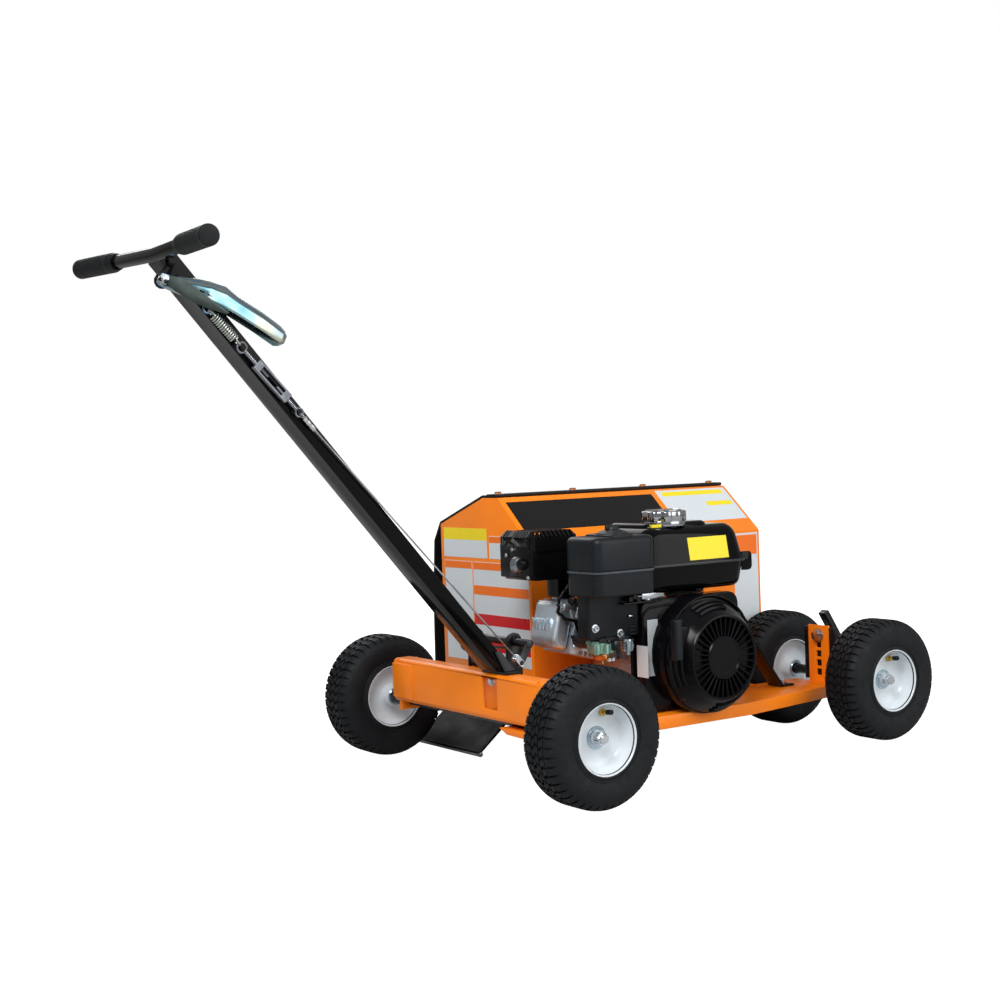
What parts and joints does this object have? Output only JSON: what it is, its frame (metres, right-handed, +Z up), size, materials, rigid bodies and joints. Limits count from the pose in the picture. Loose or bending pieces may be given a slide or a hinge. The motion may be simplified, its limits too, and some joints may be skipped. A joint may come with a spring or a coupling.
{
  "type": "walk-behind trencher",
  "caption": "Walk-behind trencher with an orange frame, T-handle and clutch lever, small petrol engine and a guarded side cutter rotor on pneumatic wheels.",
  "frame": {"origin": "bottom centre of the bounding box, on the ground", "axes": "+X forwards, from the handle to the front wheels; +Y towards the rotor guard; +Z up"},
  "size_m": [1.5114, 0.8039, 0.9018],
  "materials": {
    "orange_frame": "satin powder coat",
    "black_frame": "gloss enamel",
    "white_rims": "gloss enamel",
    "tyres": "matte rubber",
    "rubber": "matte rubber",
    "zinc": "blue zinc plate",
    "steel": "bare steel",
    "engine_metal": "cast",
    "engine_shrouds": "black",
    "cutter_steel": "worn hard steel"
  },
  "bodies": {
    "frame": {"rear_axle": "steel", "rear_beam": "orange_frame", "deck_plate": "orange_frame", "clutch_bracket": "black_frame", "front_upright": "orange_frame", "depth_bolt": "zinc", "rotor_guard": "orange_frame", "discharge_flap": "rubber", "trailing_deflector": "engine_shrouds", "belt_partition": "orange_frame", "drive_belt": "rubber", "handle_tube": "black_frame", "handle_foot": "black_frame", "t_bar": "black_frame", "grip_near": "rubber", "grip_far": "rubber", "lever_pivot_bolt": "zinc", "crankcase": "engine_metal", "cylinder": "engine_metal", "head_cover": "engine_metal", "muffler": "black_frame", "muffler_guard": "black_frame", "air_cleaner_base": "engine_shrouds", "air_cleaner_cover": "engine_shrouds", "fuel_tank": "black_frame", "fan_housing": "black_frame", "recoil_cover": "engine_shrouds", "carburettor": "engine_metal", "engine_brace": "black_frame", "wheel_nut_rear_near": "zinc", "wheel_nut_rear_far": "zinc"},
    "wheel_rear_near": {"rim_rear_near": "white_rims", "tyre_rear_near": "tyres"},
    "wheel_rear_far": {"rim_rear_far": "white_rims", "tyre_rear_far": "tyres"},
    "wheel_front_near": {"rim_front_near": "white_rims", "tyre_front_near": "tyres"},
    "wheel_front_far": {"rim_front_far": "white_rims", "tyre_front_far": "tyres"},
    "front_carrier": {"front_axle_carrier": "black_frame", "wheel_nut_front_near": "zinc", "wheel_nut_front_far": "zinc"},
    "clutch_lever": {"clutch_lever": "zinc"},
    "cable_clevis": {"cable_clevis": "zinc"},
    "clutch_line": {"clutch_cable": "zinc", "turnbuckle": "zinc", "clutch_spring": "zinc"},
    "clutch_cross_shaft": {"clutch_cross_shaft": "black_frame"},
    "clutch_link": {"clutch_link": "steel"},
    "idler_arm": {"idler_arm": "steel"},
    "idler_pulley": {"idler_pulley": "steel"},
    "crankshaft": {"crankshaft": "steel"},
    "rotor": {"rotor_shaft": "steel", "cutter_rotor": "cutter_steel"},
    "fuel_cap": {"fuel_cap": "zinc"},
    "choke_lever": {"choke_lever": "steel"},
    "fuel_valve_lever": {"fuel_valve_lever": "steel"},
    "throttle_lever": {"throttle_lever": "zinc"},
    "engine_switch": {"engine_switch": "engine_shrouds"},
    "recoil_grip": {"recoil_grip": "rubber"}
  },
  "joints": [
    {"name": "rear_near_wheel_spin", "type": "hinge", "parent": "frame", "child": "wheel_rear_near", "pos_m": [-0.11921, -0.3589, 0.11395], "axis": [0, 1, 0], "continuous": true},
    {"name": "rear_far_wheel_spin", "type": "hinge", "parent": "frame", "child": "wheel_rear_far", "pos_m": [-0.11921, 0.2921, 0.11395], "axis": [0, 1, 0], "continuous": true},
    {"name": "front_near_wheel_spin", "type": "hinge", "parent": "front_carrier", "child": "wheel_front_near", "pos_m": [0.64179, -0.2624, 0.11395], "axis": [0, 1, 0], "continuous": true},
    {"name": "front_far_wheel_spin", "type": "hinge", "parent": "front_carrier", "child": "wheel_front_far", "pos_m": [0.64179, 0.0016, 0.11395], "axis": [0, 1, 0], "continuous": true},
    {"name": "front_height_slide", "type": "slide", "parent": "frame", "child": "front_carrier", "axis": [0, 0, 1], "range_m": [-0.072, 0]},
    {"name": "clutch_lever_pivot", "type": "hinge", "parent": "frame", "child": "clutch_lever", "pos_m": [-0.71689, -0.1434, 0.839], "axis": [0, -1, 0], "range_deg": [0, 28], "stiffness_Nm_per_rad": 4, "springref_deg": -20.05},
    {"name": "clutch_cable_pull", "type": "slide", "parent": "frame", "child": "cable_clevis", "axis": [-0.6867, 0, 0.7269], "range_m": [0, 0.01805]},
    {"name": "clutch_line_swing", "type": "hinge", "parent": "cable_clevis", "child": "clutch_line", "pos_m": [-0.09601, -0.1334, 0.2087], "axis": [0, 1, 0], "range_deg": [0, 2.32]},
    {"name": "clutch_cross_shaft_turn", "type": "hinge", "parent": "frame", "child": "clutch_cross_shaft", "pos_m": [-0.07638, -0.0334, 0.23959], "axis": [0, 1, 0], "range_deg": [0, 28.41]},
    {"name": "clutch_link_slide", "type": "slide", "parent": "frame", "child": "clutch_link", "axis": [-1, 0, 0], "range_m": [0, 0.01084]},
    {"name": "idler_arm_swing", "type": "hinge", "parent": "frame", "child": "idler_arm", "pos_m": [0.18079, 0.0886, 0.14], "axis": [0, -1, 0], "range_deg": [0, 13.78]},
    {"name": "idler_pulley_spin", "type": "hinge", "parent": "idler_arm", "child": "idler_pulley", "pos_m": [0.31438, 0.0686, 0.11923], "axis": [0, 1, 0], "continuous": true},
    {"name": "rotor_spin", "type": "hinge", "parent": "frame", "child": "rotor", "pos_m": [0.37079, 0.1926, 0.252], "axis": [0, 1, 0], "continuous": true},
    {"name": "crankshaft_spin", "type": "hinge", "parent": "frame", "child": "crankshaft", "pos_m": [0.25479, -0.0334, 0.2], "axis": [0, 1, 0], "continuous": true},
    {"name": "fuel_cap_turn", "type": "hinge", "parent": "frame", "child": "fuel_cap", "pos_m": [0.22079, -0.1454, 0.434], "axis": [0, 0, 1], "range_deg": [0, 90]},
    {"name": "choke_lever_turn", "type": "hinge", "parent": "frame", "child": "choke_lever", "pos_m": [0.05479, -0.1849, 0.236], "axis": [0, -1, 0], "range_deg": [0, 60]},
    {"name": "fuel_valve_turn", "type": "hinge", "parent": "frame", "child": "fuel_valve_lever", "pos_m": [0.07579, -0.1849, 0.222], "axis": [0, -1, 0], "range_deg": [0, 90]},
    {"name": "throttle_turn", "type": "hinge", "parent": "frame", "child": "throttle_lever", "pos_m": [0.18679, -0.1694, 0.302], "axis": [0, 0, 1], "range_deg": [0, 35]},
    {"name": "engine_switch_turn", "type": "hinge", "parent": "frame", "child": "engine_switch", "pos_m": [0.36109, -0.1684, 0.255], "axis": [1, 0, 0], "range_deg": [0, 60]},
    {"name": "recoil_grip_pull", "type": "slide", "parent": "frame", "child": "recoil_grip", "axis": [0, -1, 0], "range_m": [0, 0.6], "stiffness_N_per_m": 30}
  ],
  "couplings": [
    {"joint": "clutch_cable_pull", "follows": "clutch_lever_pivot", "m_per_rad": 0.036735},
    {"joint": "clutch_line_swing", "follows": "clutch_lever_pivot", "ratio": 0.081972},
    {"joint": "clutch_cross_shaft_turn", "follows": "clutch_lever_pivot", "ratio": 1.014},
    {"joint": "clutch_link_slide", "follows": "clutch_lever_pivot", "m_per_rad": 0.022081},
    {"joint": "idler_arm_swing", "follows": "clutch_lever_pivot", "ratio": 0.49188},
    {"joint": "crankshaft_spin", "follows": "rotor_spin", "ratio": 1.5714}
  ]
}
